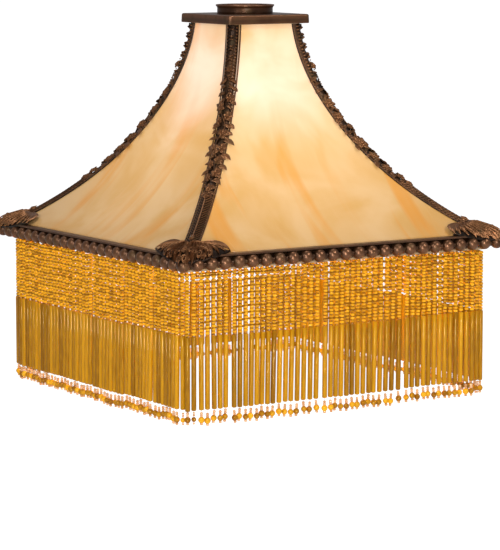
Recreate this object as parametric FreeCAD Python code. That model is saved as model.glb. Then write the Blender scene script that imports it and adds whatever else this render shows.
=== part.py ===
import FreeCAD, Part
import math
import os

# Square lamp shade with four bent glass panels in a cast metal frame and a
# swinging glass bead fringe on each side. Millimetres, +Z up. The origin is
# the middle of the fitter lip, on the fitter's axis. Each sub-part is modelled
# once, for the front side (-Y) or for the front left corner (-X, -Y), and
# turned about the axis for the other three.

Vector = FreeCAD.Vector
UP = Vector(0, 0, 1)
SIDES = ["front", "right", "back", "left"]
CORNERS = ["front_left", "front_right", "back_right", "back_left"]
ROOT2 = math.sqrt(2)

# ---- fitter collar and cap ----
LIP_RADIUS = 27.5
LIP_THICK = 2.4
COLLAR_HEIGHT = 8.6          # cap top to lip top
NECK_RADIUS = 26.0
NECK_FOOT_RADIUS = 25.7      # where the neck goes through the cap
BORE_RADIUS = 24.4
FLANGE_RADIUS = 30.5
FLANGE_THICK = 1.6
CAP_TOP = LIP_THICK / 2 - COLLAR_HEIGHT
CAP_HALF = 43.8
CAP_THICK = 1.8
CAP_RIM = 8.5                # height of the turned-down rim
CAP_WALL = 1.8
CAP_CORNER_RADIUS = 2.0
CAP_EDGE_RADIUS = 0.9
CAP_HOLE_RADIUS = 25.75
PLATE_HALF = 41.5
PLATE_THICK = 1.6
PLATE_TOP = CAP_TOP - CAP_THICK - FLANGE_THICK
PLATE_LOW = PLATE_TOP - PLATE_THICK

# ---- outside of the glass: half side of the square and height below the cap ----
GLASS_CURVE = [(36.8, -2.0), (40.2, -70.6), (87.1, -152.7), (163.5, -201.2)]
GLASS_THICK = 3.0
GLASS_TOP = PLATE_LOW - 0.4
GLASS_EDGE_GAP = 1.6         # from a glass edge to the corner's mitre plane
CURVE_POINTS = 12
CURVE_START = -0.06          # the curve is drawn a little past both its ends
CURVE_END = 1.12
STOCK = 220.0                # half length of bars and cutters before they are cut to size
OVERCUT = 20.0               # how far a cutter runs past what it cuts

# ---- bottom border ----
BALL_LINE = CAP_TOP - 209.0
BALL_HALF_SIDE = 169.0
BALL_RADIUS = 6.15
BALLS_PER_SIDE = 24
BALL_PITCH = 2 * BALL_HALF_SIDE / BALLS_PER_SIDE
BORDER_ROD_RADIUS = 2.0
ROD_GAP = 0.3                # before the next side's corner ball
LEDGE_THICK = 1.6
LEDGE_GAP = 0.05             # between the ledge and the balls
LEDGE_LOW = BALL_LINE + BALL_RADIUS + LEDGE_GAP
LEDGE_TOP = LEDGE_LOW + LEDGE_THICK
LEDGE_INNER = 152.0
LEDGE_OUTER = 171.5
FOOT_GAP = 0.15              # between the ledge and what stands on it
FLANGE_INNER = 159.8
FLANGE_OUTER = 161.0
RAIL_LOW = BALL_LINE - 6.5
TAPE_INNER = 161.1
TAPE_OUTER = 162.6
TAPE_TOP = LEDGE_LOW - 1.0
TAPE_LOW = BALL_LINE - 7.0
STRIP_INNER = 162.7
STRIP_OUTER = 164.0
STRIP_TOP = BALL_LINE + 5.5
STRIP_LOW = BALL_LINE - 5.0
RAIL_MITRE_GAP = 0.05
TAPE_MITRE_GAP = 0.2
STRIP_MITRE_GAP = 0.1

# ---- corner ribs, inner channels, ornaments and gussets ----
RIB_OFFSET = 0.15            # clearance over the glass
RIB_THICK = 2.45
RIB_HALF_WIDTH = 6.2
CHANNEL_THICK = 1.2
CHANNEL_HALF_WIDTH = 5.5
CHANNEL_BOSS_GAP = 0.05      # between a channel's bosses and the glass
TAB_INNER = 24.0
TAB_OUTER = 33.2
TAB_THICK = 1.4
ORNAMENT_THICK = 3.9
ORNAMENT_LEG = 50.0          # along the border from the corner
ORNAMENT_TIP = 134.0         # where it ends on the rib
RIB_SCREW_PLACES = [0.22, 0.48, 0.74]
ORNAMENT_SCREW_PLACE = 0.925
GUSSET_OUTER = 159.6
GUSSET_INNER = 151.8
GUSSET_LEG = 32.0
GUSSET_THICK = 1.6
GUSSET_SCREW_INSET = 7.0     # from the end of a leg

# ---- screws ----
CAP_SCREW_SPOT = (TAB_INNER + TAB_OUTER) / 2
CAP_SCREW_RADIUS = 1.5
CAP_SCREW_REACH = 1.4        # into the boss above the plate
BOSS_RADIUS = 3.5
BOSS_ROOT = 0.4              # how far a boss is sunk into the cap
HEAD_RADIUS = 2.4
HEAD_THICK = 1.6
RIB_SCREW_RADIUS = 1.25
CHANNEL_BOSS_RADIUS = 3.2
CHANNEL_BOSS_STAND = 2.5
RIB_SCREW_SHARE = 0.6        # of the rib's thickness, which a screw enters
ORNAMENT_SCREW_SHARE = 0.8
HOLE_OVERRUN = 1.0           # how far a hole's cutter starts outside the part
HOLE_CLEARANCE = 0.06
END_CLEARANCE = 0.15         # past a screw's end in a blind hole
BORDER_SCREWS = [4, 12, 20]  # ball numbers along each side
BORDER_SCREW_RADIUS = 1.2
BORDER_SCREW_REACH = 4.0     # into the ball
GUSSET_SCREW_RADIUS = 1.4

# ---- bead fringe ----
FRINGE_HALF = 161.85         # the plane in which the strands hang
SWING_LINE = TAPE_LOW - 0.4
NET_TOP = SWING_LINE - 1.2
NET_LOW = BALL_LINE - 64.2
TUBES_LOW = NET_LOW - 66.5
DROPS_LOW = TUBES_LOW - 12.6
NET_THICK = 4.1
TUBES_THICK = 4.2
DROPS_THICK = 4.8
FRINGE_END = 157.4           # half length of a fringe at its top
INWARD_SWING = math.radians(1.5)


def box(low, high):
    """A box between two corners."""
    size = [b - a for a, b in zip(low, high)]
    return Part.makeBox(size[0], size[1], size[2], Vector(*low))


def cylinder(radius, start, direction, length):
    return Part.makeCylinder(radius, length, Vector(*start), direction)


def prism(outline, low, high):
    """A closed outline of (x, y) points, from height low to height high."""
    points = [Vector(x, y, low) for x, y in outline]
    face = Part.Face(Part.makePolygon(points + points[:1]))
    return face.extrude(Vector(0, 0, high - low))


def turned(shape, quarter_turns):
    copy = shape.copy()
    copy.rotate(Vector(0, 0, 0), UP, 90 * quarter_turns)
    return copy


def merged(shapes):
    return shapes[0].multiFuse(shapes[1:]).removeSplitter()


def write(name, shape):
    solids = shape.Solids
    shape = solids[0] if len(solids) == 1 else Part.makeCompound(solids)
    shape.exportStep("parts/%s.step" % name)
    print("%-24s %2d solid(s) %9.0f mm3 valid %s" % (
        name, len(solids), shape.Volume, shape.isValid()))


# ---------------------------------------------------------------- the curve

def curve_point(t):
    """Outside of the glass at t from 0 (top) to 1 (bottom): half side and height."""
    weights = [(1 - t) ** 3, 3 * t * (1 - t) ** 2, 3 * t * t * (1 - t), t ** 3]
    half = sum(w * p[0] for w, p in zip(weights, GLASS_CURVE))
    drop = sum(w * p[1] for w, p in zip(weights, GLASS_CURVE))
    return half, CAP_TOP + drop


def curve_slope(t):
    """Unit direction of the curve at t, pointing down and outwards."""
    step = 0.001
    half_a, z_a = curve_point(t - step)
    half_b, z_b = curve_point(t + step)
    length = math.hypot(half_b - half_a, z_b - z_a)
    return (half_b - half_a) / length, (z_b - z_a) / length


def offset_curve(distance):
    """Smooth curve at a distance outside the glass, in the plane x = 0."""
    points = []
    for i in range(CURVE_POINTS + 1):
        t = CURVE_START + (CURVE_END - CURVE_START) * i / CURVE_POINTS
        half, z = curve_point(t)
        along_half, along_z = curve_slope(t)
        half -= along_z * distance
        z += along_half * distance
        points.append(Vector(0, -half, z))
    curve = Part.BSplineCurve()
    curve.interpolate(points)
    return curve.toShape()


def layer(inner, outer, top):
    """The layer between two distances from the front glass, from the ledge to top."""
    edges = [offset_curve(inner), offset_curve(outer)]
    ends = [[edge.Vertexes[i].Point for edge in edges] for i in (0, 1)]
    for start, end in ends:
        edges.append(Part.makeLine(start, end))
    face = Part.Face(Part.Wire(Part.__sortEdges__(edges)))
    face.translate(Vector(-STOCK, 0, 0))
    band = face.extrude(Vector(2 * STOCK, 0, 0))
    return band.common(box((-STOCK, -STOCK, LEDGE_TOP + FOOT_GAP), (STOCK, 0, top)))


def beside_corner(half_width):
    """The strip of the front side that lies along its left mitre plane."""
    shift = half_width * ROOT2
    outline = [(0, 0), (-STOCK, -STOCK), (shift - STOCK, -STOCK), (shift, 0)]
    return prism(outline, BALL_LINE, CAP_TOP)


def mirrored_about_corner(shape):
    """The same shape on the left side of the front left corner."""
    return shape.mirror(Vector(0, 0, 0), Vector(1, -1, 0))


def corner_strip(inner, outer, half_width, top):
    """A V strip that follows the front left corner."""
    leg = layer(inner, outer, top).common(beside_corner(half_width))
    return merged([leg, mirrored_about_corner(leg)])


def corner_axis(t):
    """Ridge point, outward normal and layer stretch of the front left corner at t."""
    half, z = curve_point(t)
    along_half, along_z = curve_slope(t)
    length = math.hypot(along_half * ROOT2, along_z)
    out = -along_z / length
    up = along_half * ROOT2 / length
    normal = Vector(-out / ROOT2, -out / ROOT2, up)
    stretch = 1 / (-along_z * out / ROOT2 + along_half * up)
    return Vector(-half, -half, z), normal, stretch


def corner_cylinder(t, radius, start, end):
    """A cylinder across the corner at t, between two distances from the ridge."""
    ridge, normal, stretch = corner_axis(t)
    return cylinder(radius, ridge + normal * start, normal, end - start)


# ---------------------------------------------------------------- top of the shade

def fitter_collar():
    low = CAP_TOP - CAP_THICK
    neck_top = LIP_THICK / -2
    body = cylinder(NECK_RADIUS, (0, 0, CAP_TOP), UP, neck_top - CAP_TOP)
    foot = cylinder(NECK_FOOT_RADIUS, (0, 0, low), UP, CAP_THICK)
    flange = cylinder(FLANGE_RADIUS, (0, 0, low - FLANGE_THICK), UP, FLANGE_THICK)
    lip = cylinder(LIP_RADIUS, (0, 0, neck_top), UP, LIP_THICK)
    bore = cylinder(BORE_RADIUS, (0, 0, low - OVERCUT), UP, 3 * OVERCUT)
    return merged([body, foot, flange, lip]).cut(bore)


def cap_screw_spots():
    spot = CAP_SCREW_SPOT
    return [(sx * spot, sy * spot) for sx in (-1, 1) for sy in (-1, 1)]


def top_cap():
    """Square cap with a turned-down rim and four bosses for the cap screws."""
    shell = box((-CAP_HALF, -CAP_HALF, CAP_TOP - CAP_RIM), (CAP_HALF, CAP_HALF, CAP_TOP))
    uprights = [e for e in shell.Edges if abs(e.tangentAt(e.FirstParameter).z) > 0.9]
    shell = shell.makeFillet(CAP_CORNER_RADIUS, uprights)
    top_edges = [e for e in shell.Edges if e.BoundBox.ZMin > CAP_TOP - 0.01]
    shell = shell.makeFillet(CAP_EDGE_RADIUS, top_edges)
    inner = CAP_HALF - CAP_WALL
    ceiling = CAP_TOP - CAP_THICK
    low = CAP_TOP - OVERCUT
    shell = shell.cut(box((-inner, -inner, low), (inner, inner, ceiling)))
    shell = shell.cut(cylinder(CAP_HOLE_RADIUS, (0, 0, low), UP, 2 * OVERCUT))
    bosses = [cylinder(BOSS_RADIUS, (x, y, PLATE_TOP), UP, FLANGE_THICK + BOSS_ROOT)
              for x, y in cap_screw_spots()]
    holes = [cylinder(CAP_SCREW_RADIUS + HOLE_CLEARANCE, (x, y, PLATE_TOP), UP,
                      CAP_SCREW_REACH + END_CLEARANCE) for x, y in cap_screw_spots()]
    return merged([shell] + bosses).cut(Part.makeCompound(holes))


def backing_plate():
    plate = box((-PLATE_HALF, -PLATE_HALF, PLATE_LOW), (PLATE_HALF, PLATE_HALF, PLATE_TOP))
    holes = [cylinder(BORE_RADIUS + 1, (0, 0, PLATE_LOW - OVERCUT), UP, 2 * OVERCUT)]
    for x, y in cap_screw_spots():
        radius = CAP_SCREW_RADIUS + HOLE_CLEARANCE
        holes.append(cylinder(radius, (x, y, PLATE_LOW - OVERCUT), UP, 2 * OVERCUT))
    return plate.cut(Part.makeCompound(holes))


def cap_screws():
    low = PLATE_LOW - TAB_THICK
    length = PLATE_TOP + CAP_SCREW_REACH - low
    screws = []
    for x, y in cap_screw_spots():
        head = cylinder(HEAD_RADIUS, (x, y, low - HEAD_THICK), UP, HEAD_THICK)
        shank = cylinder(CAP_SCREW_RADIUS, (x, y, low), UP, length)
        screws.append(merged([head, shank]))
    return Part.makeCompound(screws)


# ---------------------------------------------------------------- glass and corners

def glass_panel():
    return mitred(layer(-GLASS_THICK, 0, GLASS_TOP), GLASS_EDGE_GAP)


def corner_rib():
    """V shaped rib over the outside of a glass joint, with blind screw holes."""
    rib = corner_strip(RIB_OFFSET, RIB_OFFSET + RIB_THICK, RIB_HALF_WIDTH, GLASS_TOP)
    holes = []
    for t in RIB_SCREW_PLACES + [ORNAMENT_SCREW_PLACE]:
        reach = screw_reach(t) + END_CLEARANCE
        holes.append(corner_cylinder(t, RIB_SCREW_RADIUS + HOLE_CLEARANCE, -GLASS_THICK, reach))
    return rib.cut(Part.makeCompound(holes))


def screw_reach(t):
    """How far past the glass ridge the screw at t ends."""
    stretch = corner_axis(t)[2]
    if t == ORNAMENT_SCREW_PLACE:
        return (RIB_OFFSET + ORNAMENT_SCREW_SHARE * ORNAMENT_THICK) * stretch
    return (RIB_OFFSET + RIB_SCREW_SHARE * RIB_THICK) * stretch


def screw_seat(t):
    """Distance behind the glass ridge at which the screw's head sits."""
    depth = GLASS_THICK + RIB_OFFSET + CHANNEL_THICK
    return -depth * corner_axis(t)[2] - CHANNEL_BOSS_STAND


def inner_channel():
    """V strip behind a glass joint, with screw bosses and a tab under the cap."""
    outer = -GLASS_THICK - RIB_OFFSET
    strip = corner_strip(outer - CHANNEL_THICK, outer, CHANNEL_HALF_WIDTH, PLATE_LOW)
    tab = box((-TAB_OUTER, -TAB_OUTER, PLATE_LOW - TAB_THICK), (-TAB_INNER, -TAB_INNER, PLATE_LOW))
    glass_side = corner_strip(outer + CHANNEL_BOSS_GAP, 0, CHANNEL_HALF_WIDTH, PLATE_LOW)
    pieces = [strip, tab]
    holes = [cylinder(CAP_SCREW_RADIUS + HOLE_CLEARANCE,
                      (-CAP_SCREW_SPOT, -CAP_SCREW_SPOT, PLATE_LOW - OVERCUT), UP, 2 * OVERCUT)]
    for t in RIB_SCREW_PLACES + [ORNAMENT_SCREW_PLACE]:
        seat = screw_seat(t)
        boss = corner_cylinder(t, CHANNEL_BOSS_RADIUS, seat, outer)
        pieces.append(boss.cut(glass_side))
        holes.append(corner_cylinder(t, RIB_SCREW_RADIUS + HOLE_CLEARANCE, seat - 1, 0))
    return merged(pieces).cut(Part.makeCompound(holes))


def corner_screw(t):
    seat = screw_seat(t)
    head = corner_cylinder(t, HEAD_RADIUS, seat - HEAD_THICK, seat)
    shank = corner_cylinder(t, RIB_SCREW_RADIUS, seat, screw_reach(t))
    return merged([head, shank])


def ornament_outline():
    """Right half of a corner ornament seen from above: a leaf fan along the border."""
    corner = -LEDGE_OUTER
    toe = corner + ORNAMENT_LEG
    return [(corner, corner), (toe, corner), (toe, corner + 9), (toe - 9, corner + 13),
            (toe - 13, corner + 21), (toe - 18, corner + 23), (toe - 16, corner + 30),
            (-ORNAMENT_TIP, -ORNAMENT_TIP)]


def corner_ornament():
    """Cast leaf fan over a rib's foot, on both sides of the corner."""
    leaf = layer(RIB_OFFSET, RIB_OFFSET + ORNAMENT_THICK, GLASS_TOP)
    leaf = leaf.common(prism(ornament_outline(), BALL_LINE, CAP_TOP))
    fan = merged([leaf, mirrored_about_corner(leaf)])
    socket_half = RIB_HALF_WIDTH + RIB_OFFSET
    socket = corner_strip(0, RIB_OFFSET * 2 + RIB_THICK, socket_half, GLASS_TOP)
    hole_end = screw_reach(ORNAMENT_SCREW_PLACE) + END_CLEARANCE
    hole = corner_cylinder(ORNAMENT_SCREW_PLACE, RIB_SCREW_RADIUS + HOLE_CLEARANCE, 0, hole_end)
    return fan.cut(socket).cut(hole)


# ---------------------------------------------------------------- bottom border

def mitred(shape, gap):
    """Cuts a front piece to length at both corners' mitre planes."""
    near = gap * ROOT2
    wedge = prism([(0, -near), (-STOCK, -STOCK - near), (STOCK, -STOCK - near)], TAPE_LOW - OVERCUT, 0)
    return shape.common(wedge)


def bottom_rail():
    """Rail with a ledge for the glass and a flange that the fringe is fixed to."""
    ledge = box((-STOCK, -LEDGE_OUTER, LEDGE_LOW), (STOCK, -LEDGE_INNER, LEDGE_TOP))
    flange = box((-STOCK, -FLANGE_OUTER, RAIL_LOW), (STOCK, -FLANGE_INNER, LEDGE_LOW))
    through = FLANGE_OUTER - FLANGE_INNER + 2 * HOLE_OVERRUN
    holes = [border_hole(i, FLANGE_INNER - HOLE_OVERRUN, through) for i in BORDER_SCREWS]
    for x, y in gusset_screw_spots():
        radius = GUSSET_SCREW_RADIUS + HOLE_CLEARANCE
        holes.append(cylinder(radius, (x, y, LEDGE_LOW - HOLE_OVERRUN), UP,
                              LEDGE_THICK + 2 * HOLE_OVERRUN))
    return mitred(merged([ledge, flange]), RAIL_MITRE_GAP).cut(Part.makeCompound(holes))


def ball_x(i):
    return -BALL_HALF_SIDE + i * BALL_PITCH


def border_hole(i, start, length):
    """A screw hole across the border, on the middle of ball i."""
    radius = BORDER_SCREW_RADIUS + HOLE_CLEARANCE
    return cylinder(radius, (ball_x(i), -start, BALL_LINE), Vector(0, -1, 0), length)


def ball_border():
    """A row of balls on a back strip. Its first ball is the corner's."""
    strip = box((-STOCK, -STRIP_OUTER, STRIP_LOW), (STOCK, -STRIP_INNER, STRIP_TOP))
    rod_length = 2 * BALL_HALF_SIDE - BALL_RADIUS - ROD_GAP
    start = (-BALL_HALF_SIDE, -BALL_HALF_SIDE, BALL_LINE)
    rod = cylinder(BORDER_ROD_RADIUS, start, Vector(1, 0, 0), rod_length)
    pieces = [mitred(strip, STRIP_MITRE_GAP), rod]
    for i in range(BALLS_PER_SIDE):
        centre = Vector(ball_x(i), -BALL_HALF_SIDE, BALL_LINE)
        pieces.append(Part.makeSphere(BALL_RADIUS, centre, Vector(1, 0, 0)))
    start = STRIP_INNER - HOLE_OVERRUN
    reach = BALL_HALF_SIDE - BALL_RADIUS + BORDER_SCREW_REACH + END_CLEARANCE - start
    holes = [border_hole(i, start, reach) for i in BORDER_SCREWS]
    return merged(pieces).cut(Part.makeCompound(holes))


def border_screws():
    """Screws from inside the flange, through the tape, into the border's balls."""
    outward = Vector(0, -1, 0)
    end = BALL_HALF_SIDE - BALL_RADIUS + BORDER_SCREW_REACH
    screws = []
    for i in BORDER_SCREWS:
        head = cylinder(HEAD_RADIUS, (ball_x(i), HEAD_THICK - FLANGE_INNER, BALL_LINE),
                        outward, HEAD_THICK)
        shank = cylinder(BORDER_SCREW_RADIUS, (ball_x(i), -FLANGE_INNER, BALL_LINE),
                         outward, end - FLANGE_INNER)
        screws.append(merged([head, shank]))
    return Part.makeCompound(screws)


def gusset_screw_spots():
    """Two screw places on the front rail, one near each corner."""
    y = -(GUSSET_INNER + GUSSET_OUTER) / 2
    x = GUSSET_OUTER - GUSSET_LEG + GUSSET_SCREW_INSET
    return [(-x, y), (x, y)]


def corner_gusset():
    """L plate under the ledges, joining two rails at the front left corner."""
    low, high = LEDGE_LOW - GUSSET_THICK, LEDGE_LOW
    end = GUSSET_LEG - GUSSET_OUTER
    leg_a = box((-GUSSET_OUTER, -GUSSET_OUTER, low), (end, -GUSSET_INNER, high))
    leg_b = box((-GUSSET_OUTER, -GUSSET_OUTER, low), (-GUSSET_INNER, end, high))
    x, y = gusset_screw_spots()[0]
    radius = GUSSET_SCREW_RADIUS + HOLE_CLEARANCE
    start = low - HOLE_OVERRUN
    through = GUSSET_THICK + 2 * HOLE_OVERRUN
    holes = [cylinder(radius, (x, y, start), UP, through),
             cylinder(radius, (y, x, start), UP, through)]
    return merged([leg_a, leg_b]).cut(Part.makeCompound(holes))


def gusset_screws():
    low = LEDGE_LOW - GUSSET_THICK
    screws = []
    for x, y in gusset_screw_spots():
        head = cylinder(HEAD_RADIUS, (x, y, low - HEAD_THICK), UP, HEAD_THICK)
        shank = cylinder(GUSSET_SCREW_RADIUS, (x, y, low), UP, GUSSET_THICK + LEDGE_THICK)
        screws.append(merged([head, shank]))
    return Part.makeCompound(screws)


# ---------------------------------------------------------------- bead fringe

def heading_tape():
    tape = box((-STOCK, -TAPE_OUTER, TAPE_LOW), (STOCK, -TAPE_INNER, TAPE_TOP))
    through = TAPE_OUTER - TAPE_INNER + 2 * HOLE_OVERRUN
    holes = [border_hole(i, TAPE_INNER - HOLE_OVERRUN, through) for i in BORDER_SCREWS]
    return mitred(tape, TAPE_MITRE_GAP).cut(Part.makeCompound(holes))


def curtain(top, low, thick):
    """A flat curtain of strands. Its ends lean in, clear of the next side's swing."""
    def end(z):
        return FRINGE_END - (NET_TOP - z) * math.tan(INWARD_SWING)
    corners = [(-end(top), top), (end(top), top), (end(low), low), (-end(low), low)]
    points = [Vector(x, -FRINGE_HALF - thick / 2, z) for x, z in corners]
    face = Part.Face(Part.makePolygon(points + points[:1]))
    return face.extrude(Vector(0, thick, 0))


# ---------------------------------------------------------------- write the parts

def write_all():
    os.makedirs("parts", exist_ok=True)
    write("fitter_collar", fitter_collar())
    write("top_cap", top_cap())
    write("backing_plate", backing_plate())
    write("cap_screws", cap_screws())
    by_side = {
        "glass": glass_panel(),
        "rail": bottom_rail(),
        "ball_border": ball_border(),
        "heading_tape": heading_tape(),
        "bead_net": curtain(NET_TOP, NET_LOW, NET_THICK),
        "bead_tubes": curtain(NET_LOW, TUBES_LOW, TUBES_THICK),
        "bead_drops": curtain(TUBES_LOW, DROPS_LOW, DROPS_THICK),
    }
    by_corner = {
        "rib": corner_rib(),
        "inner_channel": inner_channel(),
        "corner_ornament": corner_ornament(),
        "gusset": corner_gusset(),
    }
    for turns in range(4):
        for name, shape in by_side.items():
            write("%s_%s" % (name, SIDES[turns]), turned(shape, turns))
        for name, shape in by_corner.items():
            write("%s_%s" % (name, CORNERS[turns]), turned(shape, turns))
    all_round = {
        "rib_screws": Part.makeCompound([corner_screw(t) for t in RIB_SCREW_PLACES]),
        "ornament_screws": corner_screw(ORNAMENT_SCREW_PLACE),
        "border_screws": border_screws(),
        "gusset_screws": gusset_screws(),
    }
    for name, shape in all_round.items():
        write(name, Part.makeCompound([turned(shape, turns) for turns in range(4)]))


write_all()
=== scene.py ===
# %% [markdown]
# # A square lamp shade of bent glass, in Blender
#
# Four bent panels of opal glass are held in a cast bronze frame, under a
# square cap with a round fitter. A row of bronze balls runs round the foot,
# and a fringe of strung glass beads swings below it. The metal frame was
# worked out in CAD first. Here it is loaded as a fixed frame, and each
# visible piece is made again with the relief and finish of the real one.

# %% Load the frame
import bpy
import math
import numpy as np
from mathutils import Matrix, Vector


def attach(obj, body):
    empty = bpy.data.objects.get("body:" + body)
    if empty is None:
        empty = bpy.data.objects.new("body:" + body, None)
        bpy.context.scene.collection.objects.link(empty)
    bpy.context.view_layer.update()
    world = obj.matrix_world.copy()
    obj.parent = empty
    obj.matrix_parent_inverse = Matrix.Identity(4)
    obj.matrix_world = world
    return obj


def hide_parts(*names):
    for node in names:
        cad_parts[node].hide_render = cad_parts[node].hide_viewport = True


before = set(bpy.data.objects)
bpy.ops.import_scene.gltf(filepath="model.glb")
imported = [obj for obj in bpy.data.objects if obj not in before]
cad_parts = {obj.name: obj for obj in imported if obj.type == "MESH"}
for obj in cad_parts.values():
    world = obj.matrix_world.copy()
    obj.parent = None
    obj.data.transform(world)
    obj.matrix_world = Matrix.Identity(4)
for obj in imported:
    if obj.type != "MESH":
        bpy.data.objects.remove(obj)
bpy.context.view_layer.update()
SIDES = ["front", "right", "back", "left"]
CORNERS = ["front_left", "front_right", "back_right", "back_left"]
MM = 0.001
print("frame loaded:", len(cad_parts), "CAD pieces")

# %% [markdown]
# ## Shapes as whole arrays
#
# A surface is a grid of points: one parameter runs along the piece and the
# other runs round its section. numpy works out every point at once, and a
# piece that repeats (a bead, a leaf) is an array of copies. A closed solid
# must have its faces turned outwards, and the sign of its volume tells which
# way they are turned, whatever mirror or turn the points went through.

# %% Grids of faces, and faces turned outwards
def tube_faces(rings, around):
    """Faces of a closed tube: a quad between each pair of neighbours, and a flat lid at each end."""
    i, j = np.meshgrid(np.arange(rings - 1), np.arange(around), indexing="ij")
    k = (j + 1) % around
    quads = np.stack([i * around + j, i * around + k, (i + 1) * around + k, (i + 1) * around + j], -1)
    lids = np.stack([np.arange(around)[::-1], (rings - 1) * around + np.arange(around)])
    return [quads.reshape(-1, 4), lids]


def ring_faces(around, section):
    """Faces of a closed ring: the section goes right round and meets itself."""
    i, j = np.meshgrid(np.arange(around), np.arange(section), indexing="ij")
    a, b = (i + 1) % around, (j + 1) % section
    quads = np.stack([i * section + j, a * section + j, a * section + b, i * section + b], -1)
    return [quads.reshape(-1, 4)]


def volume(points, faces):
    """Volume of each copy: the sum of the tetrahedra from the origin to each triangle."""
    total = 0
    first = points[:, faces[:, 0]]
    for k in range(1, faces.shape[1] - 1):
        cross = np.cross(points[:, faces[:, k]], points[:, faces[:, k + 1]])
        total = total + (first * cross).sum((1, 2))
    return total / 6


def turned_out(points, face_sets):
    """Face numbers of all the copies, reversed in the copies whose volume is negative."""
    centred = points - points.mean(1, keepdims=True)
    size = sum(volume(centred, faces) for faces in face_sets)
    result = []
    for faces in face_sets:
        every = faces[None] + np.arange(len(points))[:, None, None] * points.shape[1]
        every = np.where((size < 0)[:, None, None], every[:, :, ::-1], every)
        result.append(every.reshape(-1, faces.shape[1]))
    return result

# %% Points into a Blender mesh
def make_piece(name, shapes, material, body, replaces=(), uv=None, sharp=None, mats=()):
    """Each shape is (points, face sets, tone, material number). Points are in millimetres,
    one row of points for each copy. Tone is a number kept on each point for the material."""
    co, tones, loops, sizes, numbers, base = [], [], [], [], [], 0
    for shape in shapes:
        points, face_sets = shape[0], shape[1]
        tone = shape[2] if len(shape) > 2 else 0.5
        number = shape[3] if len(shape) > 3 else 0
        for faces in turned_out(points, face_sets):
            loops.append((faces + base).ravel())
            sizes.append(np.full(len(faces), faces.shape[1]))
            numbers.append(np.full(len(faces), number))
        co.append(points.reshape(-1, 3))
        tones.append(np.broadcast_to(tone, points.shape[:2]).ravel())
        base += points.shape[0] * points.shape[1]
    co, tones, loops = np.concatenate(co), np.concatenate(tones), np.concatenate(loops)
    sizes, numbers = np.concatenate(sizes), np.concatenate(numbers)
    mesh = bpy.data.meshes.new(name)
    mesh.vertices.add(len(co))
    mesh.vertices.foreach_set("co", (co * MM).ravel())
    mesh.loops.add(len(loops))
    mesh.loops.foreach_set("vertex_index", loops)
    mesh.polygons.add(len(sizes))
    mesh.polygons.foreach_set("loop_start", np.concatenate([[0], np.cumsum(sizes)[:-1]]))
    mesh.polygons.foreach_set("material_index", numbers)
    mesh.polygons.foreach_set("use_smooth", np.ones(len(sizes), bool))
    mesh.update(calc_edges=True)
    mesh.validate()
    kept = mesh.attributes.new("tone", "FLOAT", "POINT")
    kept.data.foreach_set("value", tones.astype(np.float32))
    if uv is not None:
        layer = mesh.uv_layers.new(name="surface")
        layer.data.foreach_set("uv", uv.reshape(-1, 2)[loops].ravel())
    if sharp:
        mesh.set_sharp_from_angle(angle=math.radians(sharp))
    for item in (material, *mats):
        mesh.materials.append(item)
    piece = bpy.data.objects.new(name, mesh)
    bpy.context.scene.collection.objects.link(piece)
    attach(piece, body)
    if replaces:
        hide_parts(*replaces)
    triangles = int((sizes - 2).sum())
    print("made %s: %d triangles" % (name, triangles))
    return piece


def turn(points, quarter):
    """The points turned about the upright axis by some quarter turns."""
    c, s = [(1, 0), (0, 1), (-1, 0), (0, -1)][quarter % 4]
    x, y = points[..., 0], points[..., 1]
    return np.stack([c * x - s * y, s * x + c * y, points[..., 2]], -1)


def turned_shapes(shapes, quarter):
    """The same shapes, turned. Their faces, tones and materials stay as they are."""
    return [(turn(shape[0], quarter), *shape[1:]) for shape in shapes]

# %% [markdown]
# ## Finishes
#
# Effects that several finishes share are node groups: a cast bronze patina,
# the clouds and streaks of opal glass, and a weave. A group gives colours and
# values only. The shader itself stays in each material, with the numbers that
# don't change over the surface set straight on its sockets.

# %% Helpers for shader nodes
def new_group(name, inputs, outputs):
    """A shader node group with named sockets. Inputs are name: (kind, default)."""
    group = bpy.data.node_groups.new(name, "ShaderNodeTree")
    for label, (kind, value) in inputs.items():
        socket = group.interface.new_socket(label, in_out="INPUT", socket_type=kind)
        if value is not None:
            socket.default_value = value
    for label, kind in outputs.items():
        group.interface.new_socket(label, in_out="OUTPUT", socket_type=kind)
    return group, group.nodes.new("NodeGroupInput"), group.nodes.new("NodeGroupOutput")


def wire_up(tree, source, out, target, into):
    """Joins one node's output to another node's input."""
    tree.links.new(source.outputs[out], target.inputs[into])


def noise(tree, vector, scale, detail=3.0, rough=0.55, distortion=0.0):
    """Clouds from 0 to 1. The scale is about how many there are in a metre."""
    node = tree.nodes.new("ShaderNodeTexNoise")
    node.inputs["Scale"].default_value = scale
    node.inputs["Detail"].default_value = detail
    node.inputs["Roughness"].default_value = rough
    node.inputs["Distortion"].default_value = distortion
    tree.links.new(vector, node.inputs["Vector"])
    return node.outputs["Fac"]


def ramp(tree, value, low, high, to_low=0.0, to_high=1.0):
    """A smooth step from one number to another, while the value goes from low to high."""
    node = tree.nodes.new("ShaderNodeMapRange")
    node.interpolation_type = "SMOOTHSTEP"
    for label, number in (("From Min", low), ("From Max", high), ("To Min", to_low), ("To Max", to_high)):
        node.inputs[label].default_value = number
    tree.links.new(value, node.inputs["Value"])
    return node.outputs["Result"]


def mix(tree, factor, a, b, kind="MIX"):
    """Mixes two colours. Each is a socket or a plain colour."""
    node = tree.nodes.new("ShaderNodeMix")
    node.data_type = "RGBA"
    node.blend_type = kind
    for value, socket in ((factor, node.inputs[0]), (a, node.inputs[6]), (b, node.inputs[7])):
        if hasattr(value, "default_value"):
            tree.links.new(value, socket)
        elif isinstance(value, (int, float)):
            socket.default_value = value
        else:
            socket.default_value = (*value, 1.0)
    return node.outputs[2]


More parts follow.
